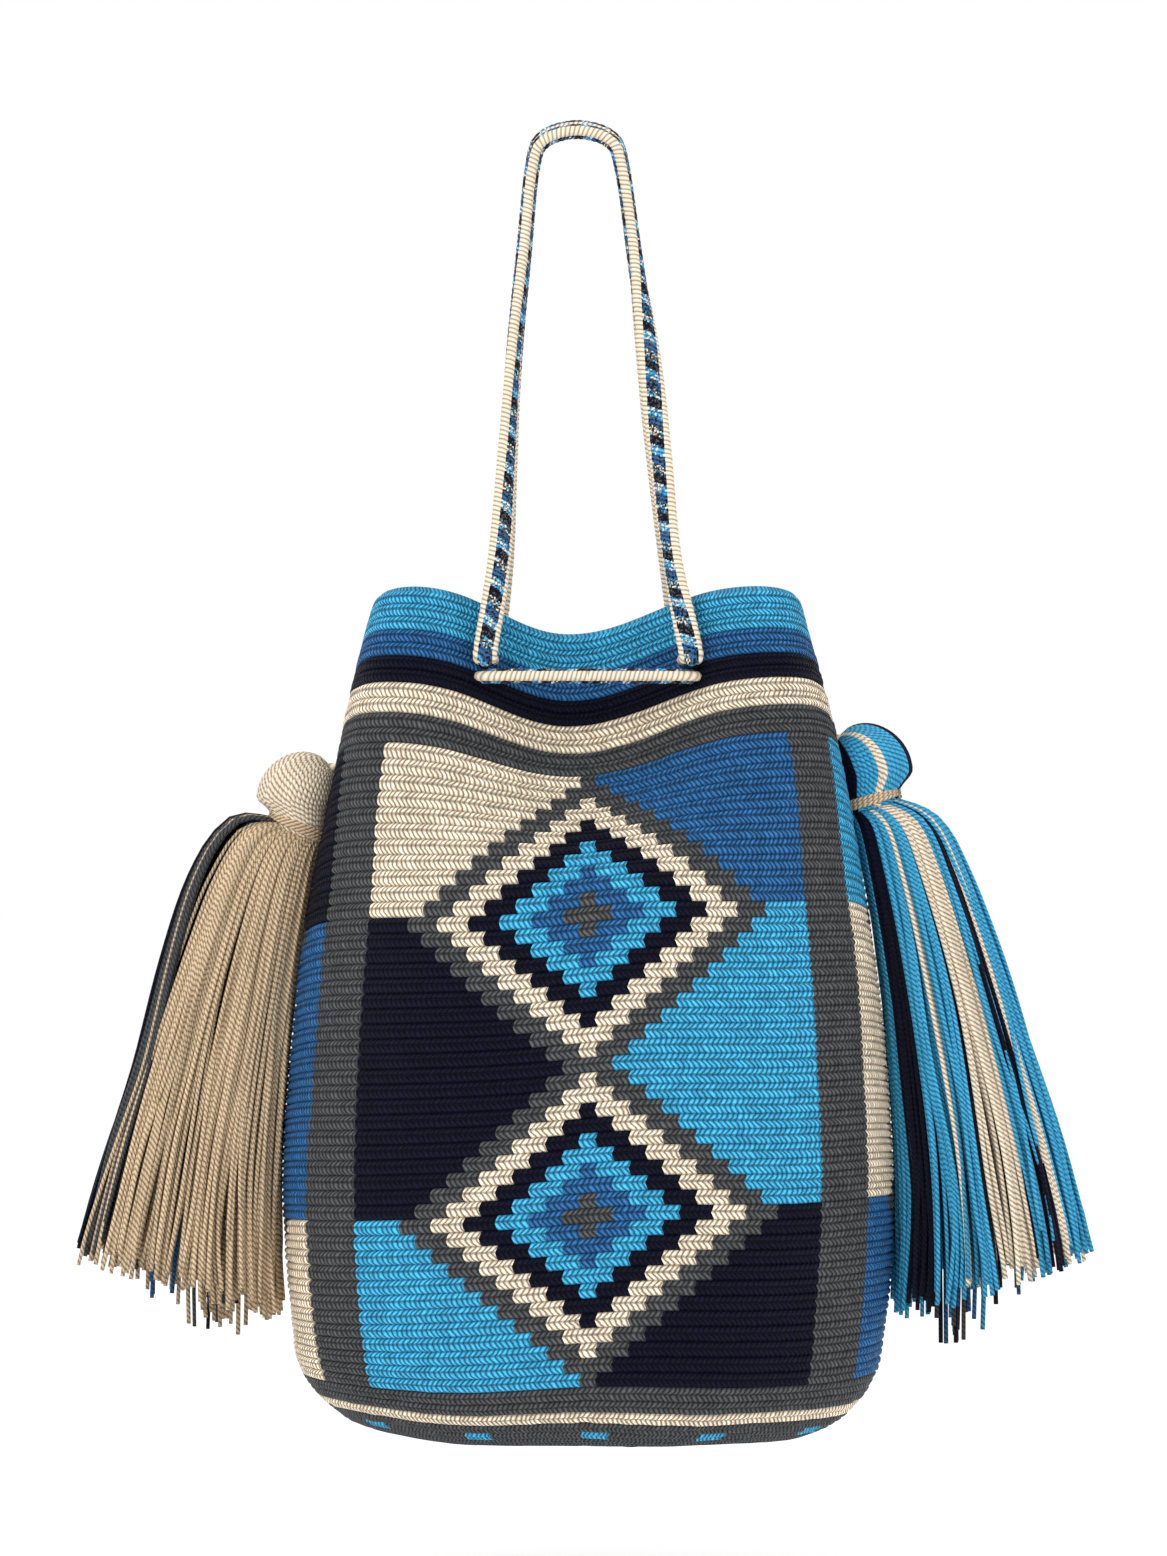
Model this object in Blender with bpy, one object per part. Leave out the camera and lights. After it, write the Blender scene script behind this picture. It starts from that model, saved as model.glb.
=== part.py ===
import math

import bmesh
import bpy
import numpy as np
from mathutils import Vector

for leftover in list(bpy.data.objects):
    bpy.data.objects.remove(leftover, do_unlink=True)

# Crocheted body: heights are above the flat base, in metres
BODY_HEIGHT = 0.269
BELLY_HEIGHT = 0.085
BELLY_HALF = (0.0973, 0.058)
MOUTH_HALF = (0.069, 0.045)
BASE_DRAW_IN = (0.0085, 0.004)
SHOULDER_POWER = 1.55
EDGE_ROUND = 0.026
BELLY_SQUARENESS = 2.4
MOUTH_SQUARENESS = 3.0
WALL = 0.004
LIP = 0.0015

# Gathered mouth: front and back drawn together, ears standing at the corners
PINCH = 0.036
PINCH_FOOT = 0.170
PINCH_TOP = 0.238
DIP_FOOT = 0.150
CENTRE_DIP = 0.015
CENTRE_DIP_X = -0.006
SIDE_DIP = 0.011
SIDE_DIP_REACH = 0.018

# Crochet rows
ROWS = 60
RIDGE = 0.0006
ROW_SLOPE = 0.04
COLUMNS = 28
FINE_PER_COLUMN = 12
INNER_ROW_STEP = 6
BASE_RINGS = 3

# Draw cords and their eyelets
CORD_WIDTH = 0.0077
CORD_THICKNESS = 0.0048
CORD_FIT = 0.0006
EYELET_X = 0.032
UPPER_PASS = 0.2470
LOWER_PASS = UPPER_PASS - CORD_THICKNESS - CORD_FIT
EYELET_SIZE = (CORD_WIDTH + 2.0 * CORD_FIT, 2.0 * CORD_THICKNESS + 3.0 * CORD_FIT)
CORD_STATIONS = 54
CORD_SIDES = 8
APEX_X = -0.0034
APEX_UNDERSIDE = 0.4135
ARCH_HALF = 0.0143
ARCH_RISE = 0.0119
BACK_ARCH_LIFT = 0.0024
HANDLE_SPREAD = 0.0044

# Handle legs at four heights: half their spread, share of the way from the arch's depth to the
# wall's, and how far each braid's flat side has turned from edge-on to face-on
LEG_HEIGHTS = (0.378, 0.347, 0.312, 0.278)
LEG_HALF = (0.0176, 0.0212, 0.0242, 0.0272)
LEG_FORWARD = (0.05, 0.30, 0.56, 0.83)
LEG_TURNS = {"left": (0.0, 15.0, 35.0, 65.0), "right": (5.0, 60.0, 115.0, 140.0)}

# Tassels, one at each side
HEAD_RADIUS = 0.0117
HEAD_HEIGHTS = {"left": 0.2058, "right": 0.2150}
HEAD_CLEARANCE = 0.0013
SKIRT_HEIGHTS = (0.1965, 0.1915, 0.1860, 0.1775, 0.1550, 0.1230, 0.0910, 0.0640, 0.0500)
SKIRT_OUTER_EDGES = (0.1025, 0.1040, 0.1150, 0.1225, 0.1320, 0.1430, 0.1535, 0.1605, 0.1640)
NECK_WIDTH = 0.0150
SKIRT_CLEARANCE = 0.0015
SKIRT_DEPTH = 0.80
SKIRT_END_SLANT = 0.018
SKIRT_SIDES = 24
FLUTE = 0.07
TIE_RADIUS = 0.0011
TIE_WRAPS = 2
PEG_RADIUS = 0.0017
PEG_FIT = 0.0005
PEG_TILT = math.radians(36.0)
PEG_TIP_RADIUS = 0.0008
PEG_TIP_GAP = 0.0009
KNOT_RADIUS = 0.0042

HANG_POINT = np.array((APEX_X, 0.0, APEX_UNDERSIDE))


def smooth(low, high, value):
    share = np.clip((value - low) / (high - low), 0.0, 1.0)
    return share * share * (3.0 - 2.0 * share)


def half_size(height, axis):
    """Half width (axis 0) or half depth (axis 1) before the edge rounding."""
    above = np.clip((height - BELLY_HEIGHT) / (BODY_HEIGHT - BELLY_HEIGHT), 0.0, 1.0)
    below = np.clip((BELLY_HEIGHT - height) / BELLY_HEIGHT, 0.0, 1.0)
    shoulder = (BELLY_HALF[axis] - MOUTH_HALF[axis]) * above ** SHOULDER_POWER
    return BELLY_HALF[axis] - shoulder - BASE_DRAW_IN[axis] * below ** 2


def edge_inset(height):
    """How far the rounded bottom edge draws the outline in."""
    drop = np.clip((EDGE_ROUND - height) / EDGE_ROUND, 0.0, 1.0)
    return EDGE_ROUND * (1.0 - math.sqrt(1.0 - drop * drop))


def outline(height, fractions):
    """Points round the bag at one height, spaced by girth from the front centre."""
    turn = np.linspace(0.0, 2.0 * math.pi, 1441)
    half_width = half_size(height, 0) - edge_inset(height)
    half_depth = half_size(height, 1) - edge_inset(height)
    gather = smooth(PINCH_FOOT, PINCH_TOP, height)
    power = 2.0 / (BELLY_SQUARENESS + (MOUTH_SQUARENESS - BELLY_SQUARENESS) * gather)
    sine = np.sin(turn)
    cosine = np.cos(turn)
    x = half_width * np.sign(sine) * np.abs(sine) ** power
    y = -half_depth * np.sign(cosine) * np.abs(cosine) ** power
    valley = np.cos(0.5 * math.pi * x / half_width) ** 2
    y = y - np.sign(y) * PINCH * gather * valley * smooth(0.0, 0.004, np.abs(y))
    step = np.hypot(np.diff(x), np.diff(y))
    girth = np.concatenate(([0.0], np.cumsum(step)))
    wanted = np.asarray(fractions) * girth[-1]
    x = np.interp(wanted, girth, x)
    y = np.interp(wanted, girth, y)
    dip_reach = half_width - CENTRE_DIP_X * np.sign(x - CENTRE_DIP_X)
    dip = CENTRE_DIP * np.cos(0.5 * math.pi * (x - CENTRE_DIP_X) / dip_reach) ** 4
    dip = dip + SIDE_DIP * np.exp(-((y / SIDE_DIP_REACH) ** 2)) * smooth(0.035, 0.060, np.abs(x))
    z = height - dip * smooth(DIP_FOOT, BODY_HEIGHT, height)
    return np.stack((x, y, z), axis=1)


def wall_surface(levels, columns):
    """Wall points by row level and column, each column's rows evenly spaced."""
    fractions = np.arange(columns) / columns
    arc = EDGE_ROUND * (1.0 - np.cos(np.linspace(0.0, 0.5 * math.pi, 40)))
    heights = np.concatenate((arc, np.linspace(EDGE_ROUND, BODY_HEIGHT, 200)[1:]))
    grid = np.stack([outline(height, fractions) for height in heights])
    step = np.linalg.norm(np.diff(grid, axis=0), axis=2)
    path = np.concatenate((np.zeros((1, columns)), np.cumsum(step, axis=0)))
    points = np.empty((len(levels), columns, 3))
    for column in range(columns):
        run = path[:, column]
        rough = np.interp(np.asarray(levels) / ROWS * run[-1], run, grid[:, column, 0])
        middle = smooth(0.0, 15.0, np.asarray(levels)) * smooth(ROWS, ROWS - 18.0, np.asarray(levels))
        wanted = np.asarray(levels) / ROWS * run[-1] + ROW_SLOPE * rough * middle
        for axis in range(3):
            points[:, column, axis] = np.interp(wanted, run, grid[:, column, axis])
    return points


def wall_normals(points):
    around = np.roll(points, -1, axis=1) - np.roll(points, 1, axis=1)
    along = np.gradient(points, axis=0)
    normals = np.cross(around, along)
    return normals / np.linalg.norm(normals, axis=2, keepdims=True)


def half_width_at(height):
    """Reach of the smooth wall at the middle of the bag's side."""
    levels = np.linspace(0.0, BODY_HEIGHT, 600)
    lowered = levels - SIDE_DIP * smooth(DIP_FOOT, BODY_HEIGHT, levels)
    before_dip = float(np.interp(height, lowered, levels))
    return half_size(before_dip, 0) - edge_inset(before_dip)


def material(name, colour, roughness):
    made = bpy.data.materials.new(name)
    made.use_nodes = True
    shader = made.node_tree.nodes["Principled BSDF"]
    shader.inputs["Base Color"].default_value = (*colour, 1.0)
    shader.inputs["Roughness"].default_value = roughness
    return made


def finish(name, bm, colour, roughness=0.85):
    """Turn a bmesh into a named node with its origin at the hanging point."""
    bmesh.ops.translate(bm, verts=bm.verts, vec=Vector(-HANG_POINT))
    bmesh.ops.recalc_face_normals(bm, faces=bm.faces)
    mesh = bpy.data.meshes.new(name)
    bm.to_mesh(mesh)
    bm.free()
    made = bpy.data.objects.new(name, mesh)
    bpy.context.scene.collection.objects.link(made)
    mesh.materials.append(material(name + "_yarn", colour, roughness))
    return made


def add_ring(bm, points):
    return [bm.verts.new(Vector(point)) for point in points]


def bridge(bm, first, second):
    count = len(first)
    for index in range(count):
        after = (index + 1) % count
        bm.faces.new((first[index], first[after], second[after], second[index]))


def fan(bm, ring, tip):
    centre = bm.verts.new(Vector(tip))
    count = len(ring)
    for index in range(count):
        bm.faces.new((ring[index], ring[(index + 1) % count], centre))


def body():
    """Crocheted body: ridged rows outside, smooth inside, open gathered mouth."""
    bm = bmesh.new()
    levels = np.arange(0.0, ROWS + 0.25, 0.5)
    fine = wall_surface(levels, COLUMNS * FINE_PER_COLUMN)
    normals = wall_normals(fine)[:, ::FINE_PER_COLUMN]
    outer = fine[:, ::FINE_PER_COLUMN]
    ridge = RIDGE * (2.0 * (np.arange(len(levels)) % 2) - 1.0)
    ridge[0] = 0.0
    outer_rings = outer + normals * ridge[:, None, None]
    outer_rings[:, :, 2] = np.maximum(outer_rings[:, :, 2], 0.0)
    outer_rings[:3, :, 2] = outer[:3, :, 2]
    bottom = outer_rings[0]
    bottom[:, 2] = 0.0
    rings = []
    for share in np.arange(1, BASE_RINGS + 1) / (BASE_RINGS + 1):
        rings.append(bottom * np.array((share, share, 1.0)))
    rings.extend(outer_rings)
    inner = outer - normals * WALL
    lip = 0.5 * (outer[-1] + inner[-1])
    lip[:, 2] += LIP
    rings.append(lip)
    steps = list(range(2 * INNER_ROW_STEP, len(levels), 2 * INNER_ROW_STEP))
    for index in reversed(steps):
        rings.append(inner[index])
    floor_ring = inner[8].copy()
    floor_ring[:, 2] = np.maximum(floor_ring[:, 2], WALL)
    rings.append(floor_ring)
    inner_bottom = bottom * np.array((0.9, 0.9, 1.0))
    inner_bottom[:, 2] = WALL
    rings.append(inner_bottom)
    made = [add_ring(bm, ring) for ring in rings]
    for first, second in zip(made, made[1:]):
        bridge(bm, first, second)
    fan(bm, made[0], (0.0, 0.0, 0.0))
    fan(bm, made[-1], (0.0, 0.0, WALL))
    return finish("bag_body", bm, (0.25, 0.32, 0.42), 0.9)


def cut(target, cutter):
    """Take one solid away from another and keep the cutter out of sight."""
    cutter.hide_render = True
    cutter.display_type = "WIRE"
    modifier = target.modifiers.new("opening", "BOOLEAN")
    modifier.operation = "DIFFERENCE"
    modifier.solver = "EXACT"
    modifier.object = cutter
    bpy.context.view_layer.objects.active = target
    bpy.ops.object.modifier_apply(modifier=modifier.name)
    bpy.data.objects.remove(cutter, do_unlink=True)


def eyelet_cutter(x):
    """Rounded slot through front and back walls, tall enough for two cords."""
    bm = bmesh.new()
    half_wide = 0.5 * EYELET_SIZE[0]
    half_tall = 0.5 * EYELET_SIZE[1]
    middle = 0.5 * (UPPER_PASS + LOWER_PASS)
    ends = []
    for y in (-0.060, 0.060):
        ring = []
        for turn in np.arange(12) * math.pi / 6.0 + math.pi / 12.0:
            across = math.copysign(abs(math.cos(turn)) ** 0.45, math.cos(turn))
            upward = math.copysign(abs(math.sin(turn)) ** 0.45, math.sin(turn))
            ring.append((x + half_wide * across, y, middle + half_tall * upward))
        ends.append(add_ring(bm, ring))
    bridge(bm, ends[0], ends[1])
    bm.faces.new(ends[0])
    bm.faces.new(ends[1])
    return finish("eyelet_cutter", bm, (1.0, 1.0, 1.0))


def peg_cutter(side, height):
    bm = bmesh.new()
    sign = side_sign(side)
    ends = []
    for x in (0.050, 0.120):
        ring = []
        for turn in np.arange(8) * math.pi / 4.0:
            radius = PEG_RADIUS + PEG_FIT
            ring.append((sign * x, radius * math.cos(turn), height + radius * math.sin(turn)))
        ends.append(add_ring(bm, ring))
    bridge(bm, ends[0], ends[1])
    bm.faces.new(ends[0])
    bm.faces.new(ends[1])
    return finish("peg_cutter", bm, (1.0, 1.0, 1.0))


def side_sign(side):
    return -1.0 if side == "left" else 1.0


def spline(points, count, closed):
    """Evenly spaced points on a smooth curve through the given ones."""
    points = np.asarray(points, dtype=float)
    if closed:
        padded = np.concatenate((points[-1:], points, points[:2]))
    else:
        padded = np.concatenate((2 * points[:1] - points[1:2], points, 2 * points[-1:] - points[-2:-1]))
    dense = []
    for index in range(len(padded) - 3):
        a, b, c, d = padded[index:index + 4]
        for share in np.linspace(0.0, 1.0, 24, endpoint=False):
            square = share * share
            cube = square * share
            dense.append(0.5 * (2 * b + (c - a) * share + (2 * a - 5 * b + 4 * c - d) * square
                                + (3 * b - a - 3 * c + d) * cube))
    dense.append(padded[-2])
    dense = np.array(dense)
    step = np.linalg.norm(np.diff(dense[:, :3], axis=0), axis=1)
    run = np.concatenate(([0.0], np.cumsum(step)))
    wanted = np.linspace(0.0, run[-1], count + 1 if closed else count)
    if closed:
        wanted = wanted[:-1]
    return np.stack([np.interp(wanted, run, dense[:, axis]) for axis in range(dense.shape[1])], axis=1)


def cord_controls(front, side):
    """Half of one draw cord with the way its flat side runs: from the arch down a leg, through
    the bag and along the far wall to its middle. The back cord mirrors it front to back."""
    sign = side_sign(side)
    legs = wall_y(EYELET_X, UPPER_PASS)
    level = UPPER_PASS if front else LOWER_PASS
    out = 0.5 * CORD_WIDTH
    across = (1.0, 0.0, 0.0)
    through = (0.0, 1.0, 0.0)
    clear = legs - (0.0088 if front else 0.0135)
    entry_rise = 0.0035 if front else 0.0012
    entry_depth = legs - (0.0086 if front else 0.0110)
    top = APEX_UNDERSIDE + 0.5 * CORD_THICKNESS + (0.0 if front else BACK_ARCH_LIFT)
    arch = top - ARCH_RISE
    controls = [
        ((APEX_X, -HANDLE_SPREAD, top), through),
        ((APEX_X + sign * 0.74 * ARCH_HALF, -HANDLE_SPREAD, arch + 0.74 * ARCH_RISE), through),
        ((APEX_X + sign * ARCH_HALF, -HANDLE_SPREAD, arch), through),
    ]
    for height, half, forward, turn in zip(LEG_HEIGHTS, LEG_HALF, LEG_FORWARD, LEG_TURNS[side]):
        lean = APEX_X * (height - level) / (arch - level)
        depth = -HANDLE_SPREAD + forward * (clear + HANDLE_SPREAD)
        flat = (math.sin(math.radians(turn)), math.cos(math.radians(turn)), 0.0)
        controls.append(((lean + sign * half, depth, height), flat))
    far = -legs + out + 0.0028
    controls.extend([
        ((sign * EYELET_X, entry_depth, level + entry_rise), across),
        ((sign * EYELET_X, legs - (0.0042 if front else 0.0030), level), across),
        ((sign * EYELET_X, 0.75 * legs, level), across),
        ((sign * EYELET_X, 0.5 * legs, level), across),
        ((sign * EYELET_X, 0.0, level), across),
        ((sign * EYELET_X, -0.5 * legs, level), across),
        ((sign * EYELET_X, -legs + 0.0022, level), across),
        ((sign * (EYELET_X - 0.0040), -legs + out + 0.0022, level), (-sign * 0.7, 0.7, 0.0)),
        ((sign * 0.5 * EYELET_X, far, level), through),
        ((0.0, far, level), through),
    ])
    return controls


def wall_y(x, height):
    """Depth of the front wall's outer face at a place near the mouth."""
    ring = outline(height + 0.006, np.linspace(0.0, 0.25, 200))
    return float(np.interp(x, ring[:, 0], ring[:, 1]))


def draw_cord(name, front, colour):
    """Flat oval braid threaded through the eyelets and up into the handle."""
    controls = [(*point, *flat) for point, flat in cord_controls(front, "left")]
    returning = [(*point, *flat) for point, flat in cord_controls(front, "right")]
    controls.extend(reversed(returning[1:-1]))
    stations = spline(controls, CORD_STATIONS, True)
    if not front:
        stations[:, 1] *= -1.0
        stations[:, 4] *= -1.0
    bm = bmesh.new()
    tangents = np.roll(stations[:, :3], -1, axis=0) - np.roll(stations[:, :3], 1, axis=0)
    rings = []
    previous = None
    for station, tangent in zip(stations, tangents):
        along = Vector(tangent).normalized()
        flat = Vector(station[3:])
        flat = (flat - flat.dot(along) * along).normalized()
        if previous is not None and flat.dot(previous) < 0.0:
            flat.negate()
        previous = flat
        normal = along.cross(flat)
        ring = []
        for turn in np.arange(CORD_SIDES) * 2.0 * math.pi / CORD_SIDES:
            wide = 0.5 * CORD_WIDTH * math.cos(turn)
            thick = 0.5 * CORD_THICKNESS * math.sin(turn)
            ring.append(Vector(station[:3]) + flat * wide + normal * thick)
        rings.append(add_ring(bm, ring))
    for first, second in zip(rings, rings[1:]):
        bridge(bm, first, second)
    shift = best_shift(rings[-1], rings[0])
    bridge(bm, rings[-1], rings[0][shift:] + rings[0][:shift])
    return finish(name, bm, colour)


def best_shift(last, first):
    """Rotation of the first ring that meets the last one without a twist."""
    count = len(first)
    costs = []
    for shift in range(count):
        moved = first[shift:] + first[:shift]
        costs.append(sum((a.co - b.co).length for a, b in zip(last, moved)))
    return costs.index(min(costs))


def head_centre(side):
    height = HEAD_HEIGHTS[side]
    return half_width_at(height) + HEAD_RADIUS + HEAD_CLEARANCE, height


def skirt_rings(side):
    """Centre, half width and height of the skirt's rings, outward from the bag."""
    lift = HEAD_HEIGHTS[side] - HEAD_HEIGHTS["left"]
    rings = []
    for index, (height, outer) in enumerate(zip(SKIRT_HEIGHTS, SKIRT_OUTER_EDGES)):
        raised = height + lift * (1.0 - index / (len(SKIRT_HEIGHTS) - 1))
        inner = half_width_at(raised) + SKIRT_CLEARANCE
        if index < 2:
            inner = outer - NECK_WIDTH
        rings.append((0.5 * (inner + outer), 0.5 * (outer - inner), raised))
    return rings


def neck_lean(side):
    """Outward shift of the neck per unit of drop."""
    top, bottom = skirt_rings(side)[:2]
    return (bottom[0] - top[0]) / (top[2] - bottom[2])


def tassel(side, colour):
    """Round head of folded strands over a fluted, flaring skirt with a ragged end."""
    bm = bmesh.new()
    sign = side_sign(side)
    centre, height = head_centre(side)
    turns = np.arange(SKIRT_SIDES) * 2.0 * math.pi / SKIRT_SIDES
    flutes = 1.0 - FLUTE * (np.arange(SKIRT_SIDES) % 2)
    lean = neck_lean(side)
    rings = []
    for tilt in (math.radians(64.0), PEG_TILT, math.radians(10.0), math.radians(-16.0), math.radians(-38.0)):
        radius = HEAD_RADIUS * math.cos(tilt)
        drop = -HEAD_RADIUS * math.sin(tilt)
        middle = centre + lean * drop
        ring = []
        for turn, flute in zip(turns, flutes):
            out = middle + radius * flute * math.cos(turn)
            ring.append((sign * out, radius * flute * math.sin(turn), height - drop))
        rings.append(ring)
    all_rings = skirt_rings(side)
    for index, (middle, half, level) in enumerate(all_rings):
        share = index / (len(all_rings) - 1)
        ring = []
        for number, (turn, flute) in enumerate(zip(turns, flutes)):
            across = math.cos(turn)
            level_here = level + SKIRT_END_SLANT * across * share * share
            if index == len(all_rings) - 1:
                level_here += 0.004 * math.sin(2.4 * number)
            squeeze = flute if across > -0.75 else min(flute, 0.97)
            out = middle + half * squeeze * across
            ring.append((sign * out, SKIRT_DEPTH * half * flute * math.sin(turn), level_here))
        rings.append(ring)
    made = [add_ring(bm, ring) for ring in rings]
    for first, second in zip(made, made[1:]):
        bridge(bm, first, second)
    fan(bm, made[0], (sign * centre, 0.0, height + HEAD_RADIUS))
    last = all_rings[-1]
    fan(bm, made[-1], (sign * last[0], 0.0, last[2] + 0.012))
    return finish(side + "_tassel", bm, colour)


def neck_tie(side, colour):
    """Thread wound round the neck below the head, as one ribbed band."""
    bm = bmesh.new()
    sign = side_sign(side)
    top, bottom = skirt_rings(side)[:2]
    middle = 0.5 * (top[0] + bottom[0])
    neck_height = 0.5 * (top[2] + bottom[2])
    lean = neck_lean(side)
    hold = 0.5 * NECK_WIDTH + 0.0005
    sides = 16
    profile = []
    for wrap in range(TIE_WRAPS):
        level = TIE_RADIUS * 1.7 * (wrap - 0.5 * (TIE_WRAPS - 1))
        profile.append((hold + TIE_RADIUS * 1.2, level - 0.6 * TIE_RADIUS))
        profile.append((hold + TIE_RADIUS * 2.0, level + 0.1 * TIE_RADIUS))
    profile.append((hold + TIE_RADIUS * 1.2, TIE_RADIUS * 1.7 * 0.5 * TIE_WRAPS))
    profile.append((hold, TIE_RADIUS * 1.7 * 0.5 * TIE_WRAPS))
    profile.append((hold, -TIE_RADIUS * 1.7 * 0.5 * TIE_WRAPS))
    columns = []
    for turn in np.arange(sides) * 2.0 * math.pi / sides:
        column = []
        for radius, level in profile:
            out = middle - lean * level + radius * math.cos(turn)
            column.append((sign * out, radius * math.sin(turn), neck_height + level))
        columns.append(add_ring(bm, column))
    for index in range(sides):
        bridge(bm, columns[index], columns[(index + 1) % sides])
    return finish(side + "_neck_tie", bm, colour)


def pivot(side):
    """Where the hanging cord meets the head: on the head's upper side next to the bag."""
    centre, height = head_centre(side)
    rise = HEAD_RADIUS * math.sin(PEG_TILT)
    return centre - neck_lean(side) * rise - HEAD_RADIUS * math.cos(PEG_TILT), height + rise


def hanging_cord(side, colour):
    """Cord knotted inside the wall, out through its hole to the tassel's head."""
    bm = bmesh.new()
    sign = side_sign(side)
    reach, level = pivot(side)
    inside = half_width_at(level) - WALL - KNOT_RADIUS - 0.0010
    sections = []
    for tilt in np.radians((155.0, 125.0, 90.0, 55.0, 27.0)):
        sections.append((inside + KNOT_RADIUS * math.cos(tilt), KNOT_RADIUS * math.sin(tilt)))
    sections.append((inside + KNOT_RADIUS + WALL, PEG_RADIUS))
    sections.append((reach - PEG_TIP_GAP - 0.0011, PEG_RADIUS))
    sections.append((reach - PEG_TIP_GAP, PEG_TIP_RADIUS))
    rings = []
    for out, radius in sections:
        ring = []
        for turn in np.arange(8) * math.pi / 4.0:
            ring.append((sign * out, radius * math.cos(turn), level + radius * math.sin(turn)))
        rings.append(add_ring(bm, ring))
    for first, second in zip(rings, rings[1:]):
        bridge(bm, first, second)
    bm.faces.new(rings[0])
    bm.faces.new(rings[-1])
    return finish(side + "_hanging_cord", bm, colour)


CREAM = (0.73, 0.60, 0.43)
LIGHT_BLUE = (0.05, 0.36, 0.68)

bag = body()
for eyelet in (-EYELET_X, EYELET_X):
    cut(bag, eyelet_cutter(eyelet))
for side_name in ("left", "right"):
    cut(bag, peg_cutter(side_name, pivot(side_name)[1]))
draw_cord("front_draw_cord", True, CREAM)
draw_cord("back_draw_cord", False, CREAM)
tassel("left", CREAM)
tassel("right", LIGHT_BLUE)
for side_name in ("left", "right"):
    neck_tie(side_name, CREAM)
    hanging_cord(side_name, CREAM)
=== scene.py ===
import math
import random

import bpy
import numpy as np
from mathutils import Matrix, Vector


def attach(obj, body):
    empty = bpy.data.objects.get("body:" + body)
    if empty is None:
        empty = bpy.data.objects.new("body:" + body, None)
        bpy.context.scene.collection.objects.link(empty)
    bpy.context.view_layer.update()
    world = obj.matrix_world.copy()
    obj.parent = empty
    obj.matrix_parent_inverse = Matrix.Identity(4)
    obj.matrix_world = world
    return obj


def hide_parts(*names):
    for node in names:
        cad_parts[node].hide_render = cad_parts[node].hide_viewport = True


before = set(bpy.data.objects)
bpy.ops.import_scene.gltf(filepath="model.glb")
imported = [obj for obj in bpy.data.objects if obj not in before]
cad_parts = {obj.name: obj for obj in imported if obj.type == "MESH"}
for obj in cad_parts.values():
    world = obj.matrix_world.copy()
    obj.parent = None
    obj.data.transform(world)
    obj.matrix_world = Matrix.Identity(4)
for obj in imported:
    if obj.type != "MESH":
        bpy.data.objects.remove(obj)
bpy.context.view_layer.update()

# The frame's origin is the hanging point; heights below are above the flat base, in metres
HANG_POINT = np.array((-0.0034, 0.0, 0.4135))

# Crocheted body
BODY_HEIGHT = 0.269
BELLY_HEIGHT = 0.085
BELLY_HALF = (0.0973, 0.058)
MOUTH_HALF = (0.069, 0.045)
BASE_DRAW_IN = (0.0085, 0.004)
SHOULDER_POWER = 1.55
EDGE_ROUND = 0.026
BELLY_SQUARENESS = 2.4
MOUTH_SQUARENESS = 3.0
WALL = 0.004
PINCH = 0.036
PINCH_FOOT = 0.170
PINCH_TOP = 0.238
DIP_FOOT = 0.150
CENTRE_DIP = 0.015
CENTRE_DIP_X = -0.006
FACE_SPREAD = 0.07
SIDE_DIP = 0.011
SIDE_DIP_REACH = 0.018
CORNER_RISE = 0.0050
CORNER_TOP = 0.045
CORNER_INNER = 0.035

# Crochet: stitches round, rows down, row heights from the rim down, and the lie of the strokes
STITCHES = 99
PANEL_STITCHES = 33
ROW_GROUPS = ((7, 0.00400), (4, 0.00450), (12, 0.00485), (39, 0.00462))
ROWS = sum(count for count, _ in ROW_GROUPS)
COLUMNS_PER_STITCH = 2
LINES_PER_ROW = 6
BASE_ROWS = 12
BASE_LINES_PER_ROW = 3
STROKES_PER_STITCH = 3
ROW_SLOPE = 0.04
STITCH_LEAN = 0.18
STROKE_LEAN = 0.30
SEAM = 0.58
RIDGE = 0.0006
ROW_GROOVE = 0.0005

# Pattern: end row of each rim band, the panels' rows, and the diamonds' rings by steps outward
RIM_BANDS = (("light", 3), ("mid", 5), ("navy", 7), ("cream", 9), ("grey", 11))
PANEL_BOTTOM = 54
DIAMOND_ROWS = (22, 42)
DIAMOND_RINGS = (("grey", 1), ("mid", 3), ("light", 5), ("navy", 7), ("cream", 9), ("grey", 11))
PANEL_HALF = 14
FRONT_FIELDS = (("cream", "navy", "light"), ("mid", "light", "navy"))
SIDE_FIELDS = (("light", "cream", "mid"), ("navy", "mid", "cream"))

# Draw cords
CORD_WIDTH = 0.0077
CORD_THICKNESS = 0.0048
CORD_FIT = 0.0006
EYELET_X = 0.032
UPPER_PASS = 0.2470
LOWER_PASS = UPPER_PASS - CORD_THICKNESS - CORD_FIT
APEX_X = -0.0034
APEX_UNDERSIDE = 0.4135
ARCH_HALF = 0.0143
ARCH_RISE = 0.0119
BACK_ARCH_LIFT = 0.0024
HANDLE_SPREAD = 0.0044

# Handle legs at four heights: half their spread, share of the way from the arch's depth to the
# wall's, and how far each braid's flat side has turned from edge-on to face-on
LEG_HEIGHTS = (0.378, 0.347, 0.312, 0.278)
LEG_HALF = (0.0176, 0.0212, 0.0242, 0.0272)
LEG_FORWARD = (0.05, 0.30, 0.56, 0.83)
LEG_TURNS = {"left": (0.0, 15.0, 35.0, 65.0), "right": (5.0, 60.0, 115.0, 140.0)}

# Where each cord's legs end: distance of the legs, of the way in and of the inner side of the
# wall from the eyelet's own depth, and rise of the way in over the eyelet
LEG_FOOT = {"front": (0.0088, 0.0086, 0.0042, 0.0035), "back": (0.0135, 0.0110, 0.0030, 0.0012)}
STRETCH_OFF_WALL = 0.0028
STRETCH_CORNER = 0.0022
STRETCH_CORNER_IN = 0.0040

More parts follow.
